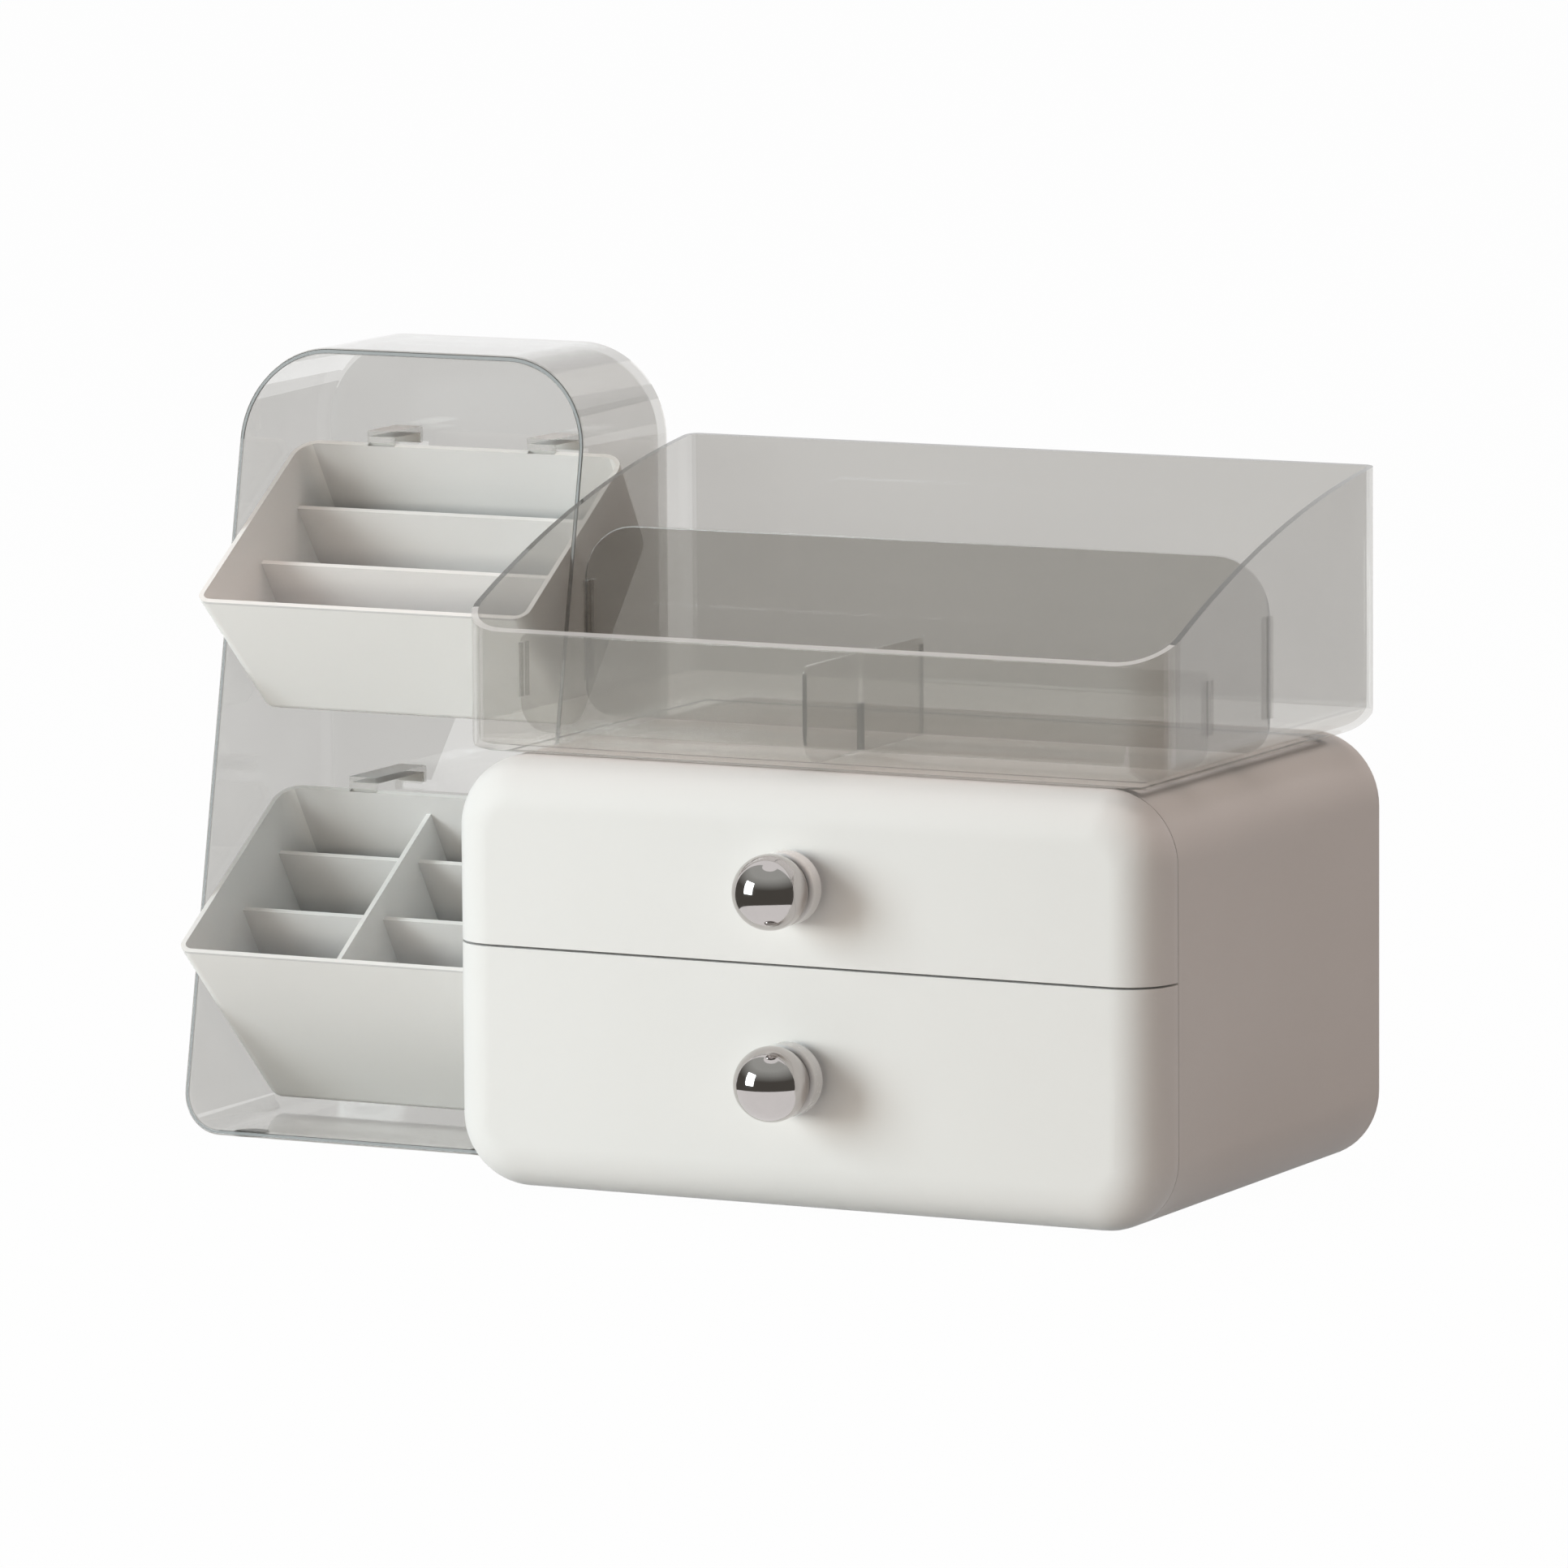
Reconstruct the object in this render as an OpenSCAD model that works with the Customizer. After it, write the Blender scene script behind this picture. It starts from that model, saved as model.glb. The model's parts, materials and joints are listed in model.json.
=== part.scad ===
// Makeup organizer for a dressing table, in millimetres.
// A two-drawer chest carries a clear open tray with loose dividers. Beside it stands
// a clear rack whose two tilted trays hang on catches at the back.
// The origin lies on the table under the middle of the whole set.
// +X is right, +Y is back, +Z is up.

/* [Chest] */
// Width of the chest
chest_w = 300; // [240:5:360]
// Depth from the flat of the drawer fronts to the back
chest_d = 205; // [170:5:240]
// Height without the feet
chest_h = 167; // [150:1:190]
// Radius of the long corners
chest_r = 28; // [22:1:34]
// Wall of the chest shell
chest_t = 4; // [3:0.5:5]
// Thickness of the back panel
back_t = 2.5; // [2:0.5:4]
// Width of the lip that the back panel and the shelf stop against
lip_w = 4; // [3:0.5:6]
// Thickness of the shelf between the drawers
shelf_t = 3; // [2:0.5:5]
// Height of the rubber feet below the shells
foot_h = 1.2; // [0.8:0.1:3]
// Diameter of the rubber feet
foot_dia = 14; // [8:1:20]

/* [Drawers] */
// Height of the seam between the drawers above the underside of the chest
seam_z = 95; // [85:1:105]
// Width of the seams round the drawer fronts
seam_gap = 0.8; // [0.5:0.1:1.5]
// Depth of the moulded drawer fronts
front_d = 21; // [20:0.5:26]
// Radius that rounds their front edges
front_r = 19; // [10:0.5:19.5]
// Wall of the drawer fronts
front_t = 2.5; // [2:0.1:3]
// Wall of the drawer boxes
box_t = 2; // [1.5:0.1:3]
// Height of the upper box
upper_box_h = 47; // [35:1:50]
// Height of the lower box
lower_box_h = 80; // [60:1:82]
// Gap under a box, on the surface that it slides on
slide_gap = 0.35; // [0.3:0.05:0.6]
// Gap at each side of a box
side_gap = 1.5; // [1:0.1:3]
// Gap behind a closed box
rear_gap = 1.5; // [1:0.1:4]
// Width of the lugs and ribs that stop a drawer
stop_w = 60; // [30:5:100]
// Height by which a lug and its rib pass each other
stop_grip = 3; // [2:0.5:3.5]

/* [Knobs] */
// Diameter of the ball
ball_dia = 29; // [22:1:34]
// Distance of the ball's centre from the drawer front
ball_reach = 20; // [18:0.5:26]
// Diameter of the collar behind the ball
collar_dia = 28.4; // [22:0.2:34]
// Front of the collar behind the ball's centre
collar_set = 7.5; // [5:0.5:9]
// Length of the wide part of the collar
collar_len = 8.5; // [5:0.5:9]
// Diameter of the foot of the collar
collar_foot_dia = 21; // [14:1:22]
// Height of the upper knob above the seam
upper_knob_z = 31; // [25:1:40]
// Drop of the lower knob below the seam
lower_knob_z = 42; // [35:1:55]
// Diameter of the knob screw
screw_dia = 4; // [3:0.5:5]

/* [Top tray] */
// Gap between the tray and each side of the chest
tray_inset = 1; // [1:0.5:8]
// Distance of the tray's front wall behind the drawer fronts
tray_front = 7; // [4:0.5:12]
// Wall of the tray
tray_t = 2.5; // [2:0.1:3.5]
// Radius of the two front corners in plan
tray_front_r = 20; // [15:1:30]
// Radius of the two back corners in plan
tray_back_r = 5; // [4:0.5:14]
// Radius between walls and underside
tray_floor_r = 14; // [10:1:18]
// Height of the front wall
tray_front_h = 44; // [35:1:55]
// Height of the back wall
tray_back_h = 104; // [85:1:130]
// Radius of the long curve of the side rims
rim_r = 620; // [520:20:900]
// Rise of the side rims where they meet the front corners
rim_step = 5; // [3:0.5:9]
// Radius of the sweep from the front rim up to the side rims
rim_sweep_r = 22; // [10:1:30]

/* [Dividers] */
// Thickness of the dividers
divider_t = 2.2; // [1.6:0.1:3]
// Distance of the tall partition behind the drawer fronts
partition_y = 111; // [90:1:140]
// Height of the tall partition
partition_h = 75; // [55:1:80]
// Radius of its top corners
partition_r = 22; // [10:1:30]
// Distance of the low cross divider behind the drawer fronts
cross_y = 57; // [40:1:75]
// Height of the low dividers
low_h = 38; // [25:1:40]
// Radius of their top corners
low_r = 3; // [1:0.5:6]
// Gap between a divider and what holds it
divider_gap = 0.3; // [0.2:0.05:0.6]
// Depth of the guide ribs on the tray walls
guide_w = 2; // [1.5:0.1:4]

/* [Rack] */
// Gap between the rack and the chest
rack_gap = 3; // [1:1:40]
// Width of the rack
rack_w = 154; // [130:2:200]
// Height of the rack without its feet
rack_h = 307; // [290:1:340]
// Depth at the underside
rack_d = 125; // [115:1:150]
// Lean of the open front from the upright
rack_lean = 11.3; // [6:0.1:14]
// Wall of the rack shell
rack_t = 2.6; // [2:0.1:4]
// Radius of the two top corners
rack_top_r = 37; // [20:1:50]
// Radius of the two bottom corners
rack_foot_r = 17; // [8:1:20]
// Distance of its back in front of the chest's back
rack_back = 11; // [0:1:30]

/* [Rack trays] */
// Tilt of the rims
tilt = 32.6; // [25:0.1:36]
// Length of a rim from front to back
rim_len = 103; // [90:1:106]
// Wall of the trays
cup_t = 2; // [1.5:0.1:2.5]
// Gap between a tray and each side of the rack
cup_gap = 0.7; // [0.5:0.1:2]
// Draft of each side wall, from the rim to the bottom
cup_draft = 2; // [0:0.5:4]
// Radius of the back corners at the rim
cup_r = 10; // [7:0.5:14]
// Radius of the front corners at the rim
cup_front_r = 6; // [4:0.5:12]
// Radius of the corners at the bottom
cup_foot_r = 7; // [5:0.5:10]
// Height of the upper rim's front corner
upper_cup_z = 211.5; // [205:0.5:216]
// Height of the lower rim's front corner
lower_cup_z = 75; // [74:0.5:90]
// Depth of the upper tray at the front
upper_cup_front = 68.5; // [60:0.5:72]
// Depth of the upper tray at the back
upper_cup_back = 46.5; // [40:0.5:50]
// Depth of the lower tray at the front
lower_cup_front = 96; // [80:0.5:97]
// Depth of the lower tray at the back
lower_cup_back = 80; // [70:0.5:84]
// Lean of the front walls from the square of the rim
cup_lean = 11.5; // [8:0.5:14]
// Places of the two row dividers along the rim, from the front
row_y = [47, 82];
// Drop of the dividers below the rim
row_drop = 18.5; // [6:0.5:22]
// Place of the column divider to the left of the middle
column_x = 9; // [0:1:20]
// Distance between the two hooks of a tray
hook_pitch = 72; // [50:2:100]
// Width of a hook
hook_w = 12; // [8:1:20]
// Thickness of hooks and catches
hook_t = 2.5; // [2:0.1:3.5]
// Height by which a hook grips its catch
hook_grip = 4; // [3:0.5:6]

/* [Hidden] */
$fn = 64;
fine = 240;                                  // segments of the long curves
round_seg = 32;                              // segments round the corners of the rack trays
over = 1;                                    // run-through of a cut past a face
seat = 0.3;                                  // gap at a seat between separate pieces
snug = 0.15;                                 // gap between pieces fixed to each other

base_z = foot_h;                             // underside of both shells
top_z = base_z + chest_h;
shell_y = front_d + seam_gap / 2;            // front edge of the chest shell
inner_w = chest_w - 2 * chest_t;
inner_r = chest_r - chest_t;
floor_z = base_z + chest_t;
ceiling_z = top_z - chest_t;
panel_y = chest_d - over - back_t;           // front face of the back panel
lip_y = panel_y - lip_w;                     // front face of the lip
cut_z = base_z + seam_z;                     // middle of the seam
shelf_z = cut_z - shelf_t / 2;

box_w = inner_w - 2 * side_gap;
box_back = lip_y - rear_gap;
upper_box_z = shelf_z + shelf_t + slide_gap;
lower_box_z = floor_z + slide_gap;
upper_knob_h = cut_z + upper_knob_z;
lower_knob_h = cut_z - lower_knob_z;
plate_t = 3;                                 // front plate of a drawer box
boss_dia = 11;                               // boss inside a drawer front
screw_head_dia = 8;
screw_head_h = 2.4;
screw_head_r = 1;                            // radius round the screw head
collar_edge_r = 1.5;                         // radius round the wide part of a collar

tray_w = chest_w - 2 * tray_inset;
tray_z = top_z + seat;
tray_back = chest_d;
tray_in_z = tray_z + tray_t;
rim_z = tray_z + tray_front_h;
divider_z = tray_in_z + divider_gap;
divider_w = tray_w - 2 * tray_t - 2 * divider_gap;

rack_x = -chest_w / 2 - rack_gap - rack_w / 2;
rack_y = chest_d - rack_back;                // back face of the rack
rack_in_y = rack_y - rack_t;
rack_slope = tan(rack_lean);
cup_w = rack_w - 2 * rack_t - 2 * cup_gap;
rim_dir = [cos(tilt), sin(tilt)];            // along a rim, as [y, z]
hook_reach = 2 * hook_t + 4 * seat + cup_t;  // depth of a catch in front of the back wall

// Rectangle from corner a to corner b with radii for the corners in the order
// lower left, lower right, upper right, upper left
module panel(a, b, r) {
    difference() {
        translate(a) square(b - a);
        corner_cut([a.x, a.y], [1, 1], r[0]);
        corner_cut([b.x, a.y], [-1, 1], r[1]);
        corner_cut([b.x, b.y], [-1, -1], r[2]);
        corner_cut([a.x, b.y], [1, -1], r[3]);
    }
}

// What a radius takes off a corner; way points into the rectangle
module corner_cut(corner, way, r) {
    if (r > 0)
        translate(corner) mirror([way.x < 0 ? 1 : 0, 0]) mirror([0, way.y < 0 ? 1 : 0])
            difference() {
                translate([-over, -over]) square(r + over);
                translate([r, r]) circle(r);
            }
}

// Extrudes an outline given in X and Z from y0 to y1
module along_y(y0, y1) {
    translate([0, y1, 0]) rotate([90, 0, 0]) linear_extrude(y1 - y0) children();
}

// Extrudes an outline given in Y and Z from x0 to x1
module along_x(x0, x1) {
    translate([x0, 0, 0]) rotate([90, 0, 90]) linear_extrude(x1 - x0) children();
}

// Turns an outline given as radius and depth about an axis along Y
module about_y(x, z) {
    translate([x, 0, z]) rotate([-90, 0, 0]) rotate_extrude() children();
}

// Outline of the chest in X and Z, drawn in by inset
module chest_outline(inset) {
    r = chest_r - inset;
    panel([-chest_w / 2 + inset, base_z + inset], [chest_w / 2 - inset, top_z - inset], [r, r, r, r]);
}

// Front slab of the whole chest with its front edge rounded, drawn in by inset
module pillow(inset, depth) {
    w = chest_w / 2 - inset;
    z0 = base_z + inset;
    z1 = top_z - inset;
    r = chest_r - inset;
    e = front_r - inset;
    along_x(-w + r, w - r) panel([inset, z0], [depth, z1], [e, 0, 0, e]);
    translate([0, 0, z0 + r]) linear_extrude(z1 - z0 - 2 * r)
        panel([-w, inset], [w, depth], [e, e, 0, 0]);
    for (x = [-w + r, w - r], z = [z0 + r, z1 - r])
        about_y(x, z) panel([0, inset], [r, depth], [0, e, 0, 0]);
}

// Moves a piece from the chest's own frame, whose origin lies under the middle of the
// drawer fronts, to the frame of the whole set
module placed() {
    translate([(rack_gap + rack_w) / 2, (ball_reach + ball_dia / 2 - chest_d) / 2, 0]) children();
}

// Slab that keeps what lies between two heights
module between(z0, z1) {
    translate([-chest_w, -chest_d, z0]) cube([2 * chest_w, 3 * chest_d, z1 - z0]);
}

module chest_shell() {
    rib_z = upper_box_z + upper_box_h + slide_gap;
    color("whitesmoke") placed() {
        difference() {
            along_y(shell_y, chest_d) chest_outline(0);
            along_y(shell_y - over, chest_d + over) chest_outline(chest_t);
        }
        difference() {
            along_y(lip_y, panel_y - snug) chest_outline(chest_t - over);
            along_y(lip_y - over, panel_y + over) chest_outline(chest_t + lip_w);
        }
        for (side = [-1, 1])
            translate([side * (inner_w / 2 - lip_w / 2 + over / 2), (shell_y + lip_y) / 2 + over,
                       shelf_z - snug - lip_w / 2])
                cube([lip_w + over, lip_y - shell_y, lip_w], center = true);
        translate([-stop_w / 2, shell_y + over, rib_z])
            cube([stop_w, front_t, ceiling_z + over - rib_z]);
    }
}

module back_panel() {
    color("gainsboro") placed() along_y(panel_y, panel_y + back_t) chest_outline(chest_t + snug);
}

module drawer_shelf() {
    rib_z = lower_box_z + lower_box_h + slide_gap;
    color("whitesmoke") placed() {
        translate([-inner_w / 2 + snug, shell_y, shelf_z])
            cube([inner_w - 2 * snug, lip_y - snug - shell_y, shelf_t]);
        translate([-stop_w / 2, shell_y + over, rib_z]) cube([stop_w, front_t, shelf_z + over - rib_z]);
    }
}

// Four round feet under a shell that spans x0 to x1 and y0 to y1
module feet(x0, x1, y0, y1) {
    for (x = [x0, x1], y = [y0, y1])
        translate([x, y, 0]) cylinder(h = foot_h, d = foot_dia);
}

module chest_feet() {
    x = chest_w / 2 - chest_r - foot_dia;
    color("silver") placed() feet(-x, x, shell_y + foot_dia, chest_d - foot_dia);
}

// Hollow moulded front between two heights, with a boss for the knob screw
module drawer_front(z0, z1, knob_z) {
    difference() {
        intersection() {
            pillow(0, front_d);
            between(z0, z1);
        }
        intersection() {
            pillow(front_t, front_d + over);
            between(z0 + (z0 > cut_z ? front_t : -over), z1 - (z1 < cut_z ? front_t : -over));
        }
        about_y(0, knob_z) translate([0, -over]) square([screw_dia / 2 + snug, front_t + 2 * over]);
    }
    about_y(0, knob_z) translate([screw_dia / 2 + snug, front_t - snug])
        square([(boss_dia - screw_dia) / 2, front_d - plate_t - front_t]);
}

module upper_drawer_front() {
    color("whitesmoke") placed() drawer_front(cut_z + seam_gap / 2, top_z + over, upper_knob_h);
}

module lower_drawer_front() {
    color("whitesmoke") placed() drawer_front(base_z - over, cut_z - seam_gap / 2, lower_knob_h);
}

// Drawer box whose front plate closes the back of the moulded front
module drawer_box(z0, z1, box_z, box_h, bottom_r, knob_z) {
    in = front_t + snug;
    difference() {
        union() {
            intersection() {
                along_y(front_d - plate_t, front_d) chest_outline(in);
                between(z0 + in, z1 - in);
            }
            difference() {
                along_y(front_d - over, box_back)
                    panel([-box_w / 2, box_z], [box_w / 2, box_z + box_h], [bottom_r, bottom_r, 0, 0]);
                translate([-box_w, 0, 0]) cube([2 * box_w, front_d + snug, z0 + in]);
            }
            translate([-stop_w / 2, box_back - front_t, box_z + box_h - over])
                cube([stop_w, front_t, over + stop_grip + slide_gap]);
        }
        along_y(front_d, box_back - box_t)
            panel([-box_w / 2 + box_t, box_z + box_t], [box_w / 2 - box_t, z1],
                  [bottom_r - box_t, bottom_r - box_t, 0, 0]);
        about_y(0, knob_z) translate([0, front_d - plate_t - over])
            square([screw_dia / 2 + snug, plate_t + 2 * over]);
    }
}

module upper_drawer_box() {
    color("white") placed()
        drawer_box(cut_z + seam_gap / 2, top_z + over, upper_box_z, upper_box_h, box_t * 2, upper_knob_h);
}

module lower_drawer_box() {
    color("white") placed()
        drawer_box(base_z - over, cut_z - seam_gap / 2, lower_box_z, lower_box_h, inner_r - side_gap,
                   lower_knob_h);
}

// Collar with a wide ring, a narrower foot on the drawer front and a dish for the ball
module knob_collar(knob_z) {
    ring = ball_reach - collar_set;
    e = collar_edge_r;
    difference() {
        about_y(0, knob_z) {
            translate([0, -ring]) panel([0, 0], [collar_dia / 2, collar_len], [0, e, e, 0]);
            translate([0, -ring + collar_len - over])
                square([collar_foot_dia / 2, ring - collar_len + over]);
        }
        translate([0, -ball_reach, knob_z]) sphere(d = ball_dia + 2 * snug);
        about_y(0, knob_z) translate([0, -ring]) square([screw_dia / 2 + snug, ring + over]);
    }
}

module knob_ball(knob_z) {
    difference() {
        translate([0, -ball_reach, knob_z]) sphere(d = ball_dia);
        about_y(0, knob_z) translate([0, -ball_reach]) square([screw_dia / 2 + snug, ball_dia]);
    }
}

// Pan-head screw from inside the drawer box into the ball
module knob_screw(knob_z) {
    reach = ball_reach - snug;
    about_y(0, knob_z) {
        translate([0, -reach]) square([screw_dia / 2, reach + front_d + over]);
        translate([0, front_d]) panel([0, 0], [screw_head_dia / 2, screw_head_h], [0, 0, screw_head_r, 0]);
    }
}

module upper_knob_collar() {
    color("white") placed() knob_collar(upper_knob_h);
}

module lower_knob_collar() {
    color("white") placed() knob_collar(lower_knob_h);
}

module upper_knob_ball() {
    color("lightgray") placed() knob_ball(upper_knob_h);
}

module lower_knob_ball() {
    color("lightgray") placed() knob_ball(lower_knob_h);
}

module upper_knob_screw() {
    color("silver") placed() knob_screw(upper_knob_h);
}

module lower_knob_screw() {
    color("silver") placed() knob_screw(lower_knob_h);
}

// Tub with rounded plan corners and a rounded underside, drawn in by inset
module tray_block(inset) {
    x = tray_w / 2 - inset;
    y0 = tray_front + inset;
    y1 = tray_back - inset;
    z0 = tray_z + inset;
    z1 = tray_z + tray_back_h + (inset > 0 ? over : 0);
    f = tray_floor_r - inset;
    intersection() {
        translate([0, 0, z0]) linear_extrude(z1 - z0)
            panel([-x, y0], [x, y1], [tray_front_r - inset, tray_front_r - inset,
                                      tray_back_r - inset, tray_back_r - inset]);
        along_y(y0 - over, y1 + over) panel([-x, z0], [x, z1], [f, f, 0, 0]);
        along_x(-x - over, x + over) panel([y0, z0], [y1, z1], [f, f, 0, 0]);
    }
}

// Side view of what lies under the rim: level at the front, then a sweep up into one long curve
module rim_profile() {
    back = [tray_back, tray_z + tray_back_h];
    front = [tray_front + tray_t, rim_z + rim_step];
    chord = back - front;
    half = norm(chord) / 2;
    centre = (back + front) / 2 + [chord.y, -chord.x] / (2 * half) * sqrt(rim_r * rim_r - half * half);
    sweep_z = rim_z + rim_sweep_r;
    span = rim_r + rim_sweep_r;
    sweep = [centre.x - sqrt(span * span - pow(sweep_z - centre.y, 2)), sweep_z];
    touch = centre + (sweep - centre) * rim_r / span;
    translate([-over, tray_z - over]) square([tray_back + 2 * over, tray_front_h + over]);
    intersection() {
        translate(centre) circle(rim_r, $fn = 2 * fine);
        translate([touch.x, tray_z]) square([tray_back - touch.x + over, tray_back_h]);
    }
    difference() {
        polygon([[sweep.x, rim_z - over], [touch.x, rim_z - over], touch, sweep]);
        translate(sweep) circle(rim_sweep_r, $fn = fine);
    }
}

// Pair of upright ribs on a side wall that hold a divider at y
module guides(y, height) {
    gap = divider_t / 2 + divider_gap;
    for (side = [-1, 1], way = [-1, 1])
        translate([side * (tray_w / 2 - tray_t) - guide_w / 2 * side, y + way * (gap + guide_w / 2),
                   tray_in_z + (tray_floor_r + height) / 2])
            cube([guide_w, guide_w, height - tray_floor_r], center = true);
}

module top_tray() {
    color([0.6, 0.6, 0.58, 0.5]) placed() {
        intersection() {
            difference() {
                tray_block(0);
                tray_block(tray_t);
            }
            along_x(-tray_w, tray_w) rim_profile();
        }
        guides(partition_y, partition_h - partition_r);
        guides(cross_y, low_h - low_r);
    }
}

// Upright divider across the tray at y
module cross_plate(y, height, top_r) {
    f = tray_floor_r - tray_t;
    along_y(y - divider_t / 2, y + divider_t / 2)
        panel([-divider_w / 2, divider_z], [divider_w / 2, divider_z + height], [f, f, top_r, top_r]);
}

module tray_partition() {
    color([0.6, 0.6, 0.58, 0.5]) placed() cross_plate(partition_y, partition_h, partition_r);
}

module tray_cross_divider() {
    notch = divider_t + 2 * snug;
    color([0.6, 0.6, 0.58, 0.5]) placed() difference() {
        cross_plate(cross_y, low_h, low_r);
        translate([-notch / 2, cross_y - divider_t, divider_z + low_h / 2 - snug])
            cube([notch, 2 * divider_t, low_h]);
    }
}

module tray_centre_divider() {
    y0 = tray_front + tray_t + divider_gap;
    y1 = partition_y - divider_t / 2 - divider_gap;
    notch = divider_t + 2 * snug;
    color([0.6, 0.6, 0.58, 0.5]) placed() difference() {
        along_x(-divider_t / 2, divider_t / 2)
            panel([y0, divider_z], [y1, divider_z + low_h], [tray_floor_r - tray_t, 0, low_r, low_r]);
        translate([-divider_t, cross_y - notch / 2, divider_z - over])
            cube([2 * divider_t, notch, low_h / 2 + over]);
    }
}

// Outline of the rack in X and Z, drawn in by inset
module rack_outline(inset) {
    x = rack_w / 2 - inset;
    panel([rack_x - x, base_z + inset], [rack_x + x, base_z + rack_h - inset],
          [rack_foot_r - inset, rack_foot_r - inset, rack_top_r - inset, rack_top_r - inset]);
}

// Catch on the back wall of the rack: a ledge with an upright lip in front
module catches(arm_z) {
    ledge_z = arm_z - hook_grip - 3 * seat - hook_t;
    lip = rack_in_y - hook_reach;
    for (side = [-1, 1])
        along_x(rack_x + side * hook_pitch / 2 - hook_w / 2, rack_x + side * hook_pitch / 2 + hook_w / 2) {
            translate([lip, ledge_z]) square([hook_reach + over, hook_t]);
            translate([lip, ledge_z]) square([hook_t, arm_z - seat - ledge_z]);
        }
}

module rack_shell() {
    front = rack_y - rack_d;
    color([0.6, 0.6, 0.58, 0.5]) placed() {
        difference() {
            along_y(front, rack_y) rack_outline(0);
            along_y(front - over, rack_in_y) rack_outline(rack_t);
            along_x(rack_x - rack_w, rack_x + rack_w)
                polygon([[front - over, base_z - over], [front, base_z],
                         [front + rack_slope * (rack_h + over), base_z + rack_h + over],
                         [front - over, base_z + rack_h + over]]);
        }
        catches(arm_z(upper_cup_z));
        catches(arm_z(lower_cup_z));
    }
}

module rack_feet() {
    x = rack_w / 2 - rack_foot_r - foot_dia / 2;
    color("silver") placed()
        feet(rack_x - x, rack_x + x, rack_y - rack_d + foot_dia, rack_y - foot_dia);
}

// Underside of a hook's arm for a rim whose front corner is at height z
function arm_z(z) = z + rim_len * rim_dir.y + hook_t;

// Distance from the front corner of a rim to the inside of the back wall, so that the
// back of the bottom leans there
function cup_y(back_depth) = rack_in_y - seat - rim_len * rim_dir.x - back_depth * rim_dir.y;

// Tapered tub in the rim's own frame: Y runs along the rim, Z is square to it
module cup_block(front_depth, back_depth, inset) {
    foot_x = cup_w / 2 - cup_draft - cup_foot_r;
    rim_h = inset > 0 ? 2 * over : over;
    foot_y = front_depth * tan(cup_lean) + cup_foot_r;
    hull() {
        for (side = [-1, 1], rim = [[cup_front_r, cup_front_r], [rim_len - cup_r, cup_r]])
            translate([side * (cup_w / 2 - rim[1]), rim[0], -over])
                cylinder(h = rim_h, r = rim[1] - inset, $fn = round_seg);
        for (side = [-1, 1], foot = [[foot_y, front_depth], [rim_len - cup_foot_r, back_depth]])
            translate([side * foot_x, foot[0], cup_foot_r - foot[1]])
                sphere(r = cup_foot_r - inset, $fn = round_seg);
    }
}

// Tilted tray with row dividers, a column divider where columns is 2, and two hooks
module rack_tray(z, front_depth, back_depth, columns) {
    y = cup_y(back_depth);
    translate([rack_x, y, z]) rotate([tilt, 0, 0]) {
        difference() {
            cup_block(front_depth, back_depth, 0);
            cup_block(front_depth, back_depth, cup_t);
        }
        intersection() {
            cup_block(front_depth, back_depth, cup_t / 2);
            union() {
                for (row = row_y)
                    translate([-cup_w, row, -2 * front_depth])
                        cube([2 * cup_w, cup_t, 2 * front_depth - row_drop]);
                if (columns == 2)
                    translate([-column_x - cup_t / 2, 0, -2 * front_depth])
                        cube([cup_t, rim_len, 2 * front_depth - row_drop / 2]);
            }
        }
    }
    hooks(y + rim_len * rim_dir.x, z + rim_len * rim_dir.y);
}

// Two hooks that reach from the back of a rim at y, z over the lips of the catches
module hooks(y, z) {
    tip = rack_in_y - hook_reach + hook_t + 2 * seat;
    arm = z + hook_t;
    for (side = [-1, 1])
        along_x(rack_x + side * hook_pitch / 2 - hook_w / 2, rack_x + side * hook_pitch / 2 + hook_w / 2) {
            polygon([[y - cup_t * rim_dir.x, z - cup_t * rim_dir.y], [y, z - cup_t], [y, arm],
                     [tip + cup_t, arm], [tip + cup_t, arm + hook_t], [y - cup_t, arm + hook_t]]);
            translate([tip, arm - hook_grip]) square([cup_t, hook_grip + over]);
        }
}

module upper_rack_tray() {
    color("white") placed() rack_tray(upper_cup_z, upper_cup_front, upper_cup_back, 1);
}

module lower_rack_tray() {
    color("white") placed() rack_tray(lower_cup_z, lower_cup_front, lower_cup_back, 2);
}

chest_shell();
back_panel();
drawer_shelf();
chest_feet();
upper_drawer_front();
upper_drawer_box();
upper_knob_collar();
upper_knob_ball();
upper_knob_screw();
lower_drawer_front();
lower_drawer_box();
lower_knob_collar();
lower_knob_ball();
lower_knob_screw();
top_tray();
tray_partition();
tray_cross_divider();
tray_centre_divider();
rack_shell();
rack_feet();
upper_rack_tray();
lower_rack_tray();
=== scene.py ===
import bpy, bmesh, json, math
from mathutils import Matrix, Vector

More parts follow.
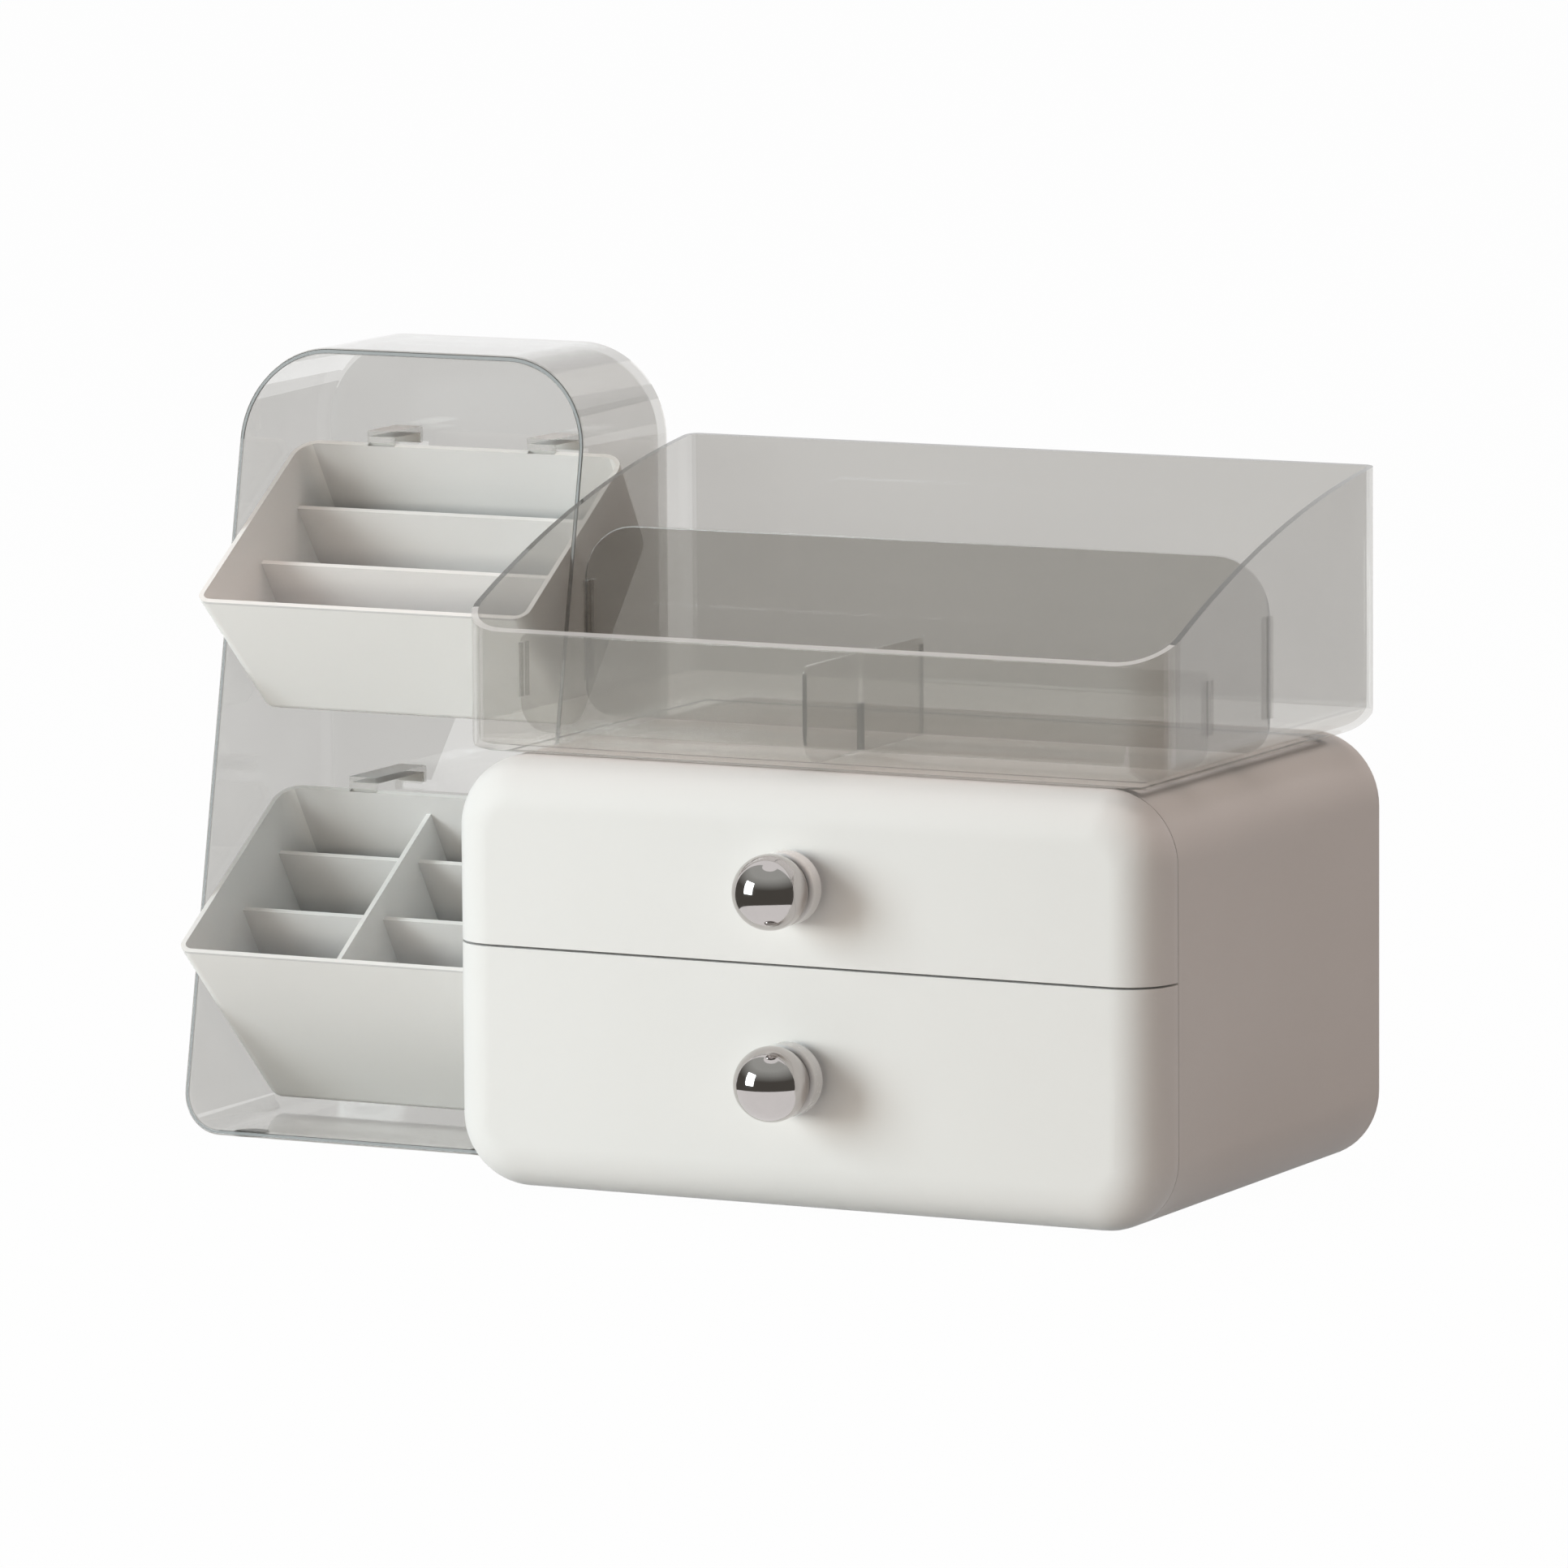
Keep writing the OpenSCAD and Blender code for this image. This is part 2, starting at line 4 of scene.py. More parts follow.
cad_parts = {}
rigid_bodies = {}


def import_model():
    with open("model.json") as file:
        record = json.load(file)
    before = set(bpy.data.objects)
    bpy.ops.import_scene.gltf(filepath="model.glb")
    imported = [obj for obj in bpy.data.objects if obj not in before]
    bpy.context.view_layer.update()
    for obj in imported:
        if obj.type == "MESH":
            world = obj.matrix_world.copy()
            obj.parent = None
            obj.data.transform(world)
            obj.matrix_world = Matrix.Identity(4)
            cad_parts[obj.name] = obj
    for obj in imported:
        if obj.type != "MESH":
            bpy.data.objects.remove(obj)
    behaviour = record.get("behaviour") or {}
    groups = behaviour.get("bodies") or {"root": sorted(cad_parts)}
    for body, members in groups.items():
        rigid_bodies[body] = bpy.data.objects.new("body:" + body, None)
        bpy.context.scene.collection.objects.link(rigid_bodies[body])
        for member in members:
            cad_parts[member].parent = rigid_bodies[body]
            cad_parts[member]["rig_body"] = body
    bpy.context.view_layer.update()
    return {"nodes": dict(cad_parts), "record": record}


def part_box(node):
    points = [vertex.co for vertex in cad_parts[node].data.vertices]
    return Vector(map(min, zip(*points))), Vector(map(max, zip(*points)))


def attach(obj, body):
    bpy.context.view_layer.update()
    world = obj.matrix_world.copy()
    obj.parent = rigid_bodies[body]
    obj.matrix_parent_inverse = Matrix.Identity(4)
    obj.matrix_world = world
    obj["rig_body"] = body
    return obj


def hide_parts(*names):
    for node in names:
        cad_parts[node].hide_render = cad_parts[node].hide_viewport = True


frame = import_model()
scene = bpy.context.scene
scene.view_settings.view_transform = "Standard"
scene.cycles.transparent_max_bounces = 32      # many clear walls stand one behind another
print("frame loaded:", len(frame["nodes"]), "nodes")


class Wire:                                    # an output socket that takes part in plain maths
    def __init__(self, finish, socket):
        self.finish, self.socket = finish, socket

    def calc(self, operation, first, second):
        return self.finish.node("ShaderNodeMath", {"operation": operation}, {0: first, 1: second})

    def __add__(self, other): return self.calc("ADD", self, other)
    def __radd__(self, other): return self.calc("ADD", other, self)
    def __mul__(self, other): return self.calc("MULTIPLY", self, other)
    def __rmul__(self, other): return self.calc("MULTIPLY", other, self)
    def __pow__(self, other): return self.calc("POWER", self, other)


class Finish:                                  # one material, or the world, and its nodes
    def __init__(self, owner):
        self.owner = bpy.data.materials.new(owner) if isinstance(owner, str) else owner
        self.owner.use_nodes = True
        self.tree = self.owner.node_tree
        self.tree.nodes.clear()

    def node(self, kind, settings, inputs, output=0):
        made = self.tree.nodes.new(kind)
        for key, value in settings.items():
            setattr(made, key, value)
        for key, value in inputs.items():
            if isinstance(value, Wire):
                self.tree.links.new(value.socket, made.inputs[key])
            else:
                made.inputs[key].default_value = value
        return Wire(self, made.outputs[output]) if made.outputs else None

    def noise(self, scale, detail=2.0, roughness=0.5, stretch=(1, 1, 1), turn=(0, 0, 0)):
        place = self.node("ShaderNodeTexCoord", {}, {}, "Object")
        place = self.node("ShaderNodeMapping", {}, {"Vector": place, "Scale": stretch, "Rotation": turn})
        return self.node("ShaderNodeTexNoise", {}, {"Vector": place, "Scale": scale, "Detail": detail,
                                                    "Roughness": roughness}, "Fac")

    def shift(self, value, low, high, new0, new1):
        return self.node("ShaderNodeMapRange", {"clamp": True}, {"Value": value, "From Min": low, "From Max": high,
                                                                 "To Min": new0, "To Max": new1})

    def blend(self, share, first, second):
        return self.node("ShaderNodeMix", {"data_type": "RGBA"}, {0: share, 6: (*first, 1), 7: (*second, 1)}, 2)

    def bump(self, height, strength, distance):
        return self.node("ShaderNodeBump", {}, {"Height": height, "Strength": strength, "Distance": distance})

    def mix(self, share, first, second):
        return self.node("ShaderNodeMixShader", {}, {0: share, 1: first, 2: second})

    def close(self, shader, kind="ShaderNodeOutputMaterial"):
        self.node(kind, {}, {"Surface": shader})
        return self.owner


camera = {"place": (2.13158, -4.13757, 0.78452), "turn": 26.913, "drop": 7.756, "roll": -0.38, "lens": 279.42}


def setCamera():
    eye = bpy.data.objects.new("camera", bpy.data.cameras.new("camera"))
    scene.collection.objects.link(eye)
    eye.data.lens, eye.data.sensor_width = camera["lens"], 36
    eye.data.clip_end = 100
    turn, drop, roll = (math.radians(camera[key]) for key in ("turn", "drop", "roll"))
    eye.matrix_world = (Matrix.Translation(camera["place"]) @ Matrix.Rotation(turn, 4, "Z")
                        @ Matrix.Rotation(math.pi / 2 - drop, 4, "X") @ Matrix.Rotation(roll, 4, "Z"))
    scene.camera = eye


setCamera()

studio = {"ambient": (0.06, 0.06, 0.06), "aim": (0.08, 0.0, 0.12), "floorShade": (0.60, 0.595, 0.59),
          "floorDeep": 0.985, "floorShow": 0.985, "floorReach": 9, "floorSides": 96, "cloudScale": 3.0}
lamps = {"keyLamp": {"place": (-1.87, -2.17, 0.82), "size": (1.5, 1.6), "power": 55.5, "shade": (0.875, 0.973, 1.0)},
         "lowLamp": {"place": (-0.70, -2.89, 0.28), "size": (3.0, 0.8), "power": 29.5, "shade": (1.0, 0.894, 0.742)},
         "topLamp": {"place": (0.1, 0.2, 2.4), "size": (1.6, 1.6), "power": 26, "shade": (1.0, 0.88, 0.84)},
         "sideLamp": {"place": (1.7, 0.5, 1.9), "size": (1.4, 1.4), "power": 9.2, "shade": (1.0, 0.75, 0.60)}}
room = {"middle": (0.0785, -0.085), "near": 0.235, "far": 3.9, "turns": (-100, 105), "steps": 41, "foot": 0.002,
        "rises": ((3.9, 0.3), (3.9, 1.2), (3.6, 2.4), (2.6, 3.5), (1.2, 4.0)),
        "low": (0.10, 0.095, 0.085), "high": (0.50, 0.52, 0.50), "dimBelow": 1.0, "brightAbove": 3.2}


def areaLamp(name, look):
    lamp = bpy.data.objects.new(name, bpy.data.lights.new(name, "AREA"))
    scene.collection.objects.link(lamp)
    lamp.data.shape, lamp.data.energy, lamp.data.color = "RECTANGLE", look["power"], look["shade"]
    lamp.data.size, lamp.data.size_y = look["size"]
    lamp.location = look["place"]
    lamp.rotation_euler = (Vector(studio["aim"]) - lamp.location).to_track_quat("-Z", "Y").to_euler()
    lamp.visible_glossy = name == "keyLamp"    # the polished knobs mirror only the big window-like lamp


def seenPlain(finish):                         # 1 for a ray of the camera, a mirror or a clear wall
    path = finish.node("ShaderNodeLightPath", {}, {}, "Is Camera Ray")
    node = path.socket.node
    glossy, through = Wire(finish, node.outputs["Is Glossy Ray"]), Wire(finish, node.outputs["Is Transmission Ray"])
    return path.calc("MAXIMUM", path.calc("MAXIMUM", path, glossy), through)


def setSky():
    sky = Finish(bpy.data.worlds.new("studioRoom"))
    ambient = sky.node("ShaderNodeBackground", {}, {"Color": (*studio["ambient"], 1), "Strength": 1.0})
    white = sky.node("ShaderNodeBackground", {}, {"Color": (1, 1, 1, 1), "Strength": 1.0})
    scene.world = sky.close(sky.mix(seenPlain(sky), ambient, white), "ShaderNodeOutputWorld")


def staged(name, bm):                          # a mesh of the studio, which is no part of the object
    mesh = bpy.data.meshes.new(name)
    bm.to_mesh(mesh)
    bm.free()
    thing = bpy.data.objects.new(name, mesh)
    scene.collection.objects.link(thing)
    return thing


def setFloor():
    bm = bmesh.new()
    bmesh.ops.create_circle(bm, cap_ends=True, segments=studio["floorSides"], radius=studio["floorReach"])
    floor = staged("floor", bm)
    paper = Finish("floorPaper")
    cloud = paper.noise(studio["cloudScale"], 2)
    shade = paper.blend(cloud, studio["floorShade"], tuple(studio["floorDeep"] * part for part in studio["floorShade"]))
    matt = paper.node("ShaderNodeBsdfDiffuse", {}, {"Color": shade})
    plain = paper.node("ShaderNodeEmission", {}, {"Color": (1, 1, 1, 1), "Strength": 1.0})
    floor.data.materials.append(paper.close(paper.mix(seenPlain(paper) * studio["floorShow"], matt, plain)))


def setDimRoom():                              # the dim room in front of the table, which only glossy faces mirror
    bm = bmesh.new()
    middle = Vector((*room["middle"], 0))
    first, last = (math.radians(turn) for turn in room["turns"])
    side = Vector((math.sin(first), -math.cos(first), 0))
    profile = ((room["near"], room["foot"]), (room["far"], room["foot"]), *room["rises"])
    chain = [bm.verts.new(middle + side * reach + Vector((0, 0, rise))) for reach, rise in profile]
    edges = [bm.edges.new(pair) for pair in zip(chain, chain[1:])]
    bmesh.ops.spin(bm, geom=chain + edges, cent=middle, axis=(0, 0, 1), angle=last - first, steps=room["steps"])
    dimRoom = staged("dimRoom", bm)
    dimRoom.visible_camera = dimRoom.visible_diffuse = dimRoom.visible_shadow = dimRoom.visible_transmission = False
    wall = Finish("dimWall")
    height = wall.node("ShaderNodeSeparateXYZ", {}, {"Vector": wall.node("ShaderNodeTexCoord", {}, {}, "Object")}, "Z")
    grey = wall.blend(wall.shift(height, room["dimBelow"], room["brightAbove"], 0, 1), room["low"], room["high"])
    dimRoom.data.materials.append(wall.close(wall.node("ShaderNodeEmission", {}, {"Color": grey, "Strength": 1.0})))


setSky()
setFloor()
setDimRoom()
for name, look in lamps.items():
    areaLamp(name, look)
print("camera, floor and lamps set")


def mouldedPlastic(name, look):
    f = Finish(name)
    cloud = f.noise(look["cloudScale"], 3, 0.55)                       # slow drift of the shade from the melt
    flow = f.noise(look["flowScale"], 2, 0.5, look["flowStretch"])     # faint flow lines along the long way
    grain = f.noise(look["grainScale"], 2, 0.6)                        # the fine texture of the mould
    tone = f.shift(cloud * 0.65 + flow * 0.35, 0.35, 0.65, 0, 1)
    shade = f.blend(tone, look["shade"], look["shadeDeep"])
    rough = f.shift(grain * 0.5 + flow * 0.5, 0.3, 0.7, *look["rough"])
    normal = f.bump(grain, look["grainStrength"], look["grainDepth"])
    return f.close(f.node("ShaderNodeBsdfPrincipled", {}, {
        "Base Color": shade, "Roughness": rough, "Normal": normal, "IOR": 1.49,
        "Specular IOR Level": look["sheen"], "Coat Weight": look["coat"], "Coat Roughness": 0.18}))


def polishedMetal(name, look):
    f = Finish(name)
    smudge = f.noise(look["smudgeScale"], 3, 0.6)                      # faint touch marks
    scratch = f.noise(look["scratchScale"], 2, 0.7, look["scratchStretch"], (0.3, 0.5, 0.2))
    shade = f.blend(f.shift(smudge, 0.3, 0.7, 0, 1), look["shade"], look["shadeDeep"])
    rough = f.shift(smudge * 0.7 + scratch * 0.3, 0.35, 0.65, *look["rough"])
    normal = f.bump(scratch, look["scratchStrength"], look["scratchDepth"])
    return f.close(f.node("ShaderNodeBsdfPrincipled", {}, {
        "Base Color": shade, "Metallic": 1.0, "Roughness": rough, "Normal": normal}))


def smokyPlastic(name, look):                  # clear tinted wall: what lies behind, a little haze, and gloss
    f = Finish(name)
    cloud = f.noise(look["cloudScale"], 3, 0.5)
    streak = f.noise(look["streakScale"], 2, 0.5, look["streakStretch"])
    haze = f.shift(cloud * 0.5 + streak * 0.5, 0.35, 0.65, *look["haze"])
    rough = f.shift(streak, 0.3, 0.7, *look["rough"])
    clear = f.node("ShaderNodeBsdfTransparent", {}, {"Color": (*look["tint"], 1)})
    body = f.node("ShaderNodeBsdfPrincipled", {}, {
        "Base Color": f.blend(cloud, look["shade"], look["shadeDeep"]), "Roughness": rough, "IOR": 1.49})
    gloss = f.node("ShaderNodeBsdfGlossy", {}, {"Color": (1, 1, 1, 1), "Roughness": rough})
    facing = f.node("ShaderNodeLayerWeight", {}, {"Blend": 0.5}, "Facing")
    mirror = look["mirror"] + look["glance"] * facing ** 5             # more gloss at a flat angle, from either side
    return f.close(f.mix(mirror, f.mix(haze, clear, body), gloss))


chestLook = {"shade": (0.880, 0.876, 0.868), "shadeDeep": (0.862, 0.857, 0.848), "cloudScale": 9, "flowScale": 14,
             "flowStretch": (1, 0.25, 1), "grainScale": 900, "grainStrength": 0.06, "grainDepth": 0.0002,
             "rough": (0.40, 0.50), "sheen": 0.08, "coat": 0.0}
frontLook = dict(chestLook, shade=(0.886, 0.884, 0.880), shadeDeep=(0.872, 0.869, 0.863), rough=(0.32, 0.42),
                 flowStretch=(0.3, 1, 1))
boxLook = dict(chestLook, shade=(0.86, 0.86, 0.855), shadeDeep=(0.835, 0.835, 0.83), rough=(0.5, 0.62))
panelLook = dict(chestLook, shade=(0.80, 0.79, 0.78), shadeDeep=(0.77, 0.76, 0.75), grainScale=500, grainStrength=0.15,
                 rough=(0.55, 0.68))
collarLook = dict(chestLook, shade=(0.90, 0.89, 0.88), shadeDeep=(0.885, 0.875, 0.865), rough=(0.22, 0.30),
                  sheen=0.5, coat=0.2)
cupLook = dict(chestLook, shade=(0.945, 0.945, 0.935), shadeDeep=(0.93, 0.93, 0.92), rough=(0.34, 0.44))
# painted shade: a darker copy of the cup white for the shaded fronts of the rows
cupPaintedShadeLook = dict(cupLook, shade=(0.76, 0.76, 0.76), shadeDeep=(0.745, 0.745, 0.745))
rubberLook = dict(chestLook, shade=(0.60, 0.60, 0.59), shadeDeep=(0.55, 0.55, 0.54), grainScale=1400, grainStrength=0.2,
                  rough=(0.7, 0.82))
chromeLook = {"shade": (0.56, 0.525, 0.515), "shadeDeep": (0.53, 0.50, 0.49), "smudgeScale": 90, "scratchScale": 260,
              "scratchStretch": (1, 6, 1), "rough": (0.04, 0.10), "scratchStrength": 0.01, "scratchDepth": 0.0002}
steelLook = {"shade": (0.62, 0.62, 0.61), "shadeDeep": (0.55, 0.55, 0.54), "smudgeScale": 300, "scratchScale": 900,
             "scratchStretch": (1, 6, 1), "rough": (0.28, 0.42), "scratchStrength": 0.1, "scratchDepth": 0.0002}
# each clear part is one plastic, but its walls are tinted one by one, to suit the light in the one view there is: the
# lighter and darker copies below are painted light and shade
smokeLook = {"tint": (0.790, 0.782, 0.768), "shade": (0.66, 0.645, 0.625), "shadeDeep": (0.61, 0.595, 0.575),
             "haze": (0.06, 0.09), "rough": (0.03, 0.09), "cloudScale": 8, "streakScale": 30,
             "streakStretch": (0.2, 1, 1), "mirror": 0.045, "glance": 0.955}
rimLook = dict(smokeLook, tint=(0.42, 0.42, 0.41), shade=(0.13, 0.13, 0.125), shadeDeep=(0.10, 0.10, 0.095),
               haze=(0.45, 0.6), mirror=0.03)
edgeLook = dict(rimLook, tint=(0.62, 0.615, 0.60), shade=(0.30, 0.295, 0.285), shadeDeep=(0.26, 0.255, 0.245),
                haze=(0.3, 0.4), mirror=0.01, glance=0.3)
lineLook = dict(rimLook, tint=(0.30, 0.30, 0.29), haze=(0.7, 0.8), mirror=0.01, glance=0.0)
# painted shadow: the dark band round the tray's flat, for its dark contact line on the chest
contactShadowLook = dict(lineLook, tint=(0.40, 0.40, 0.39), shade=(0.20, 0.20, 0.195), shadeDeep=(0.17, 0.17, 0.165),
                haze=(0.5, 0.6))
lowLook = dict(smokeLook, tint=(0.90, 0.895, 0.885), haze=(0.03, 0.06), mirror=0.04)
sideLook = dict(smokeLook, tint=(0.86, 0.855, 0.845), haze=(0.06, 0.09))
frontWallLook = dict(smokeLook, tint=(0.965, 0.96, 0.95), shade=(0.88, 0.875, 0.865), shadeDeep=(0.85, 0.845, 0.835),
                     haze=(0.10, 0.13), mirror=0.045)
trayFloorLook = dict(smokeLook, tint=(0.92, 0.915, 0.905), shade=(0.75, 0.74, 0.73), shadeDeep=(0.72, 0.71, 0.70),
                     haze=(0.05, 0.08), glance=0.2)
# painted highlight: a pale hazy copy of the front wall's plastic for the bright front rim
rimHighlightLook = dict(frontWallLook, tint=(0.93, 0.93, 0.93), haze=(0.35, 0.5))
rackLook = dict(smokeLook, tint=(0.805, 0.80, 0.79), haze=(0.06, 0.09))
rackSideLook = dict(rackLook, tint=(0.975, 0.97, 0.96), shade=(0.85, 0.845, 0.835), haze=(0.09, 0.12))
catchLook = dict(rackLook, tint=(0.985, 0.985, 0.98), shade=(0.90, 0.90, 0.89), haze=(0.08, 0.12),
                 mirror=0.02, glance=0.3)
hookLook = dict(catchLook, haze=(0.16, 0.20))

finishes = {"chest_white": mouldedPlastic("satinChestWhite", chestLook),
            "front_white": mouldedPlastic("satinFrontWhite", frontLook),
            "box_white": mouldedPlastic("mattBoxWhite", boxLook),
            "panel_grey": mouldedPlastic("mattPanelGrey", panelLook),
            "collar_white": mouldedPlastic("glossCollarWhite", collarLook),
            "cup_white": mouldedPlastic("satinCupWhite", cupLook),
            "cup_painted_shade": mouldedPlastic("satinCupInside", cupPaintedShadeLook),
            "foot_rubber": mouldedPlastic("mattFootRubber", rubberLook),
            "chrome": polishedMetal("polishedChrome", chromeLook),
            "screw_steel": polishedMetal("zincScrewSteel", steelLook),
            "smoke_clear": smokyPlastic("smokyClear", smokeLook),
            "smoke_rim": smokyPlastic("smokyRim", rimLook),
            "smoke_edge": smokyPlastic("smokyEdge", edgeLook),
            "smoke_line": smokyPlastic("smokyLine", lineLook),
            "smoke_contact_shadow": smokyPlastic("smokyFootLine", contactShadowLook),
            "smoke_low": smokyPlastic("smokyDivider", lowLook),
            "smoke_side": smokyPlastic("smokySide", sideLook),
            "smoke_front": smokyPlastic("smokyFront", frontWallLook),
            "smoke_floor": smokyPlastic("smokyFloor", trayFloorLook),
            "smoke_painted_highlight": smokyPlastic("smokyBright", rimHighlightLook),
            "smoke_rack": smokyPlastic("smokyRack", rackLook),
            "smoke_rack_side": smokyPlastic("smokyRackSide", rackSideLook),
            "smoke_catch": smokyPlastic("smokyCatch", catchLook),
            "smoke_hook": smokyPlastic("smokyHook", hookLook)}
slotOf = {part["node"]: part["material_slot"] for part in frame["record"]["subparts"]}
for node, piece in frame["nodes"].items():
    for place in piece.material_slots:
        place.material = finishes[slotOf[node]]
print("finishes made:", len(finishes))


weld = {"closer": 2e-6, "flatter": 0.25}


def copyOf(node):                              # a welded copy of a CAD node, with its flat faces whole again
    bm = bmesh.new()
    bm.from_mesh(frame["nodes"][node].data)
    bmesh.ops.remove_doubles(bm, verts=bm.verts, dist=weld["closer"])
    bmesh.ops.dissolve_limit(bm, angle_limit=math.radians(weld["flatter"]), verts=bm.verts, edges=bm.edges)
    return bm


def roundEdges(bm, offset, segments, sharper=35, chosen=lambda edge: True):
    edges = [edge for edge in bm.edges if len(edge.link_faces) == 2
             and edge.calc_face_angle() > math.radians(sharper) and chosen(edge)]
    bmesh.ops.bevel(bm, geom=edges, offset=offset, offset_type="OFFSET", affect="EDGES", segments=segments,
                    profile=0.5, material=-1, clamp_overlap=True, loop_slide=True)


def standIn(bm, name, node, finishNames, smooth=32):   # the finer piece takes the node's place on its body
    mesh = bpy.data.meshes.new(name)
    bm.to_mesh(mesh)
    bm.free()
    for attribute in [a for a in mesh.attributes if a.name == "custom_normal"]:
        mesh.attributes.remove(attribute)
    for finish in finishNames:
        mesh.materials.append(finishes[finish])
    mesh.shade_smooth()
    mesh.set_sharp_from_angle(angle=math.radians(smooth))
    piece = bpy.data.objects.new(name, mesh)
    scene.collection.objects.link(piece)
    even = piece.modifiers.new("evenShade", "WEIGHTED_NORMAL")
    even.keep_sharp = True
    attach(piece, frame["nodes"][node]["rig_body"])
    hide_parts(node)


tray = {"rimRound": 0.0007, "rimSegments": 3, "shortEdge": 0.0003, "rimFrom": 0.040, "rimUp": 0.15, "wall": 0.003,
        "frontReach": 0.016, "floorReach": 0.010, "shadowBandWidth": 0.0025, "shadowBandDeep": 0.97, "down": -0.999,
        "finishes": ["smoke_clear", "smoke_rim", "smoke_painted_highlight", "smoke_front", "smoke_floor", "smoke_side",
                     "smoke_contact_shadow"]}


def makeTray():
    bm = copyOf("top_tray")
    low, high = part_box("top_tray")
    slot = tray["finishes"].index
    flat = max((face for face in bm.faces if face.normal.z < tray["down"]), key=lambda face: face.calc_area())
    ring = bmesh.ops.inset_region(bm, faces=[flat], thickness=tray["shadowBandWidth"], use_even_offset=True)["faces"]
    for face in ring:                                                      # painted shadow: a dark band round the flat it stands on, for the dark contact line there
        face.material_index = slot("smoke_contact_shadow")
    bmesh.ops.scale(bm, vec=(1, tray["shadowBandDeep"], 1), verts=flat.verts,
                    space=Matrix.Translation(-flat.calc_center_median()))
    roundEdges(bm, tray["rimRound"], tray["rimSegments"], chosen=lambda edge: edge.calc_length() > tray["shortEdge"])
    # painted light: the front wall, the floor and the side walls get lighter copies of the same plastic
    for face in (face for face in bm.faces if face.material_index == slot("smoke_clear")):
        middle = face.calc_center_median()
        front = middle.y < low.y + tray["frontReach"]
        if middle.z > low.z + tray["rimFrom"] and face.normal.z > tray["rimUp"]:    # the rims: the front one gets a painted highlight, the others the dark rim finish
            face.material_index = slot("smoke_painted_highlight") if front else slot("smoke_rim")
        elif front:
            face.material_index = slot("smoke_front")
        elif middle.z < low.z + tray["floorReach"]:
            face.material_index = slot("smoke_floor")
        elif min(middle.x - low.x, high.x - middle.x) < tray["wall"]:
            face.material_index = slot("smoke_side")
    standIn(bm, "smokyTopTray", "top_tray", tray["finishes"])


rackShell = {"rimRound": 0.0009, "rimSegments": 3, "rimDeep": 0.0012, "rimFacing": 0.9, "lean": 11.3, "wall": 0.003,
             "inside": 0.006, "finishes": ["smoke_rack", "smoke_line", "smoke_edge", "smoke_catch", "smoke_rack_side"]}


def makeRackShell():
    bm = copyOf("rack_shell")
    low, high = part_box("rack_shell")
    slot = rackShell["finishes"].index
    centre, inside = 0.5 * (low + high), rackShell["inside"]
    lean = math.radians(rackShell["lean"])
    ahead = Vector((0, -math.cos(lean), math.sin(lean)))
    roundEdges(bm, rackShell["rimRound"], rackShell["rimSegments"])
    for face in bm.faces:
        middle = face.calc_center_median()
        front = low.y + (middle.z - low.z) * math.tan(lean)
        if face.normal.dot(ahead) > rackShell["rimFacing"] and middle.y < front + rackShell["rimDeep"]:
            dark = middle.x > centre.x or middle.z > centre.z              # the front edge, darkest at top and right
            face.material_index = slot("smoke_line") if dark else slot("smoke_edge")
        elif all(low.x + inside < corner.co.x < high.x - inside and low.z + inside < corner.co.z < high.z - inside
                 for corner in face.verts):
            face.material_index = slot("smoke_catch")                      # the four catches, clear of the walls
        # painted light: the right side wall gets a lighter copy of the rack's plastic
        elif middle.x > high.x - rackShell["wall"]:
            face.material_index = slot("smoke_rack_side")
    standIn(bm, "smokyRackShell", "rack_shell", rackShell["finishes"])


dividers = {"round": 0.0005, "segments": 2, "upright": 0.3, "broad": 0.8, "tinyArea": 1e-6,
            "pieces": (("tray_partition", "tallPartition", "smoke_clear"),
                       ("tray_cross_divider", "lowCrossDivider", "smoke_low"),
                       ("tray_centre_divider", "lowCentreDivider", "smoke_low"))}


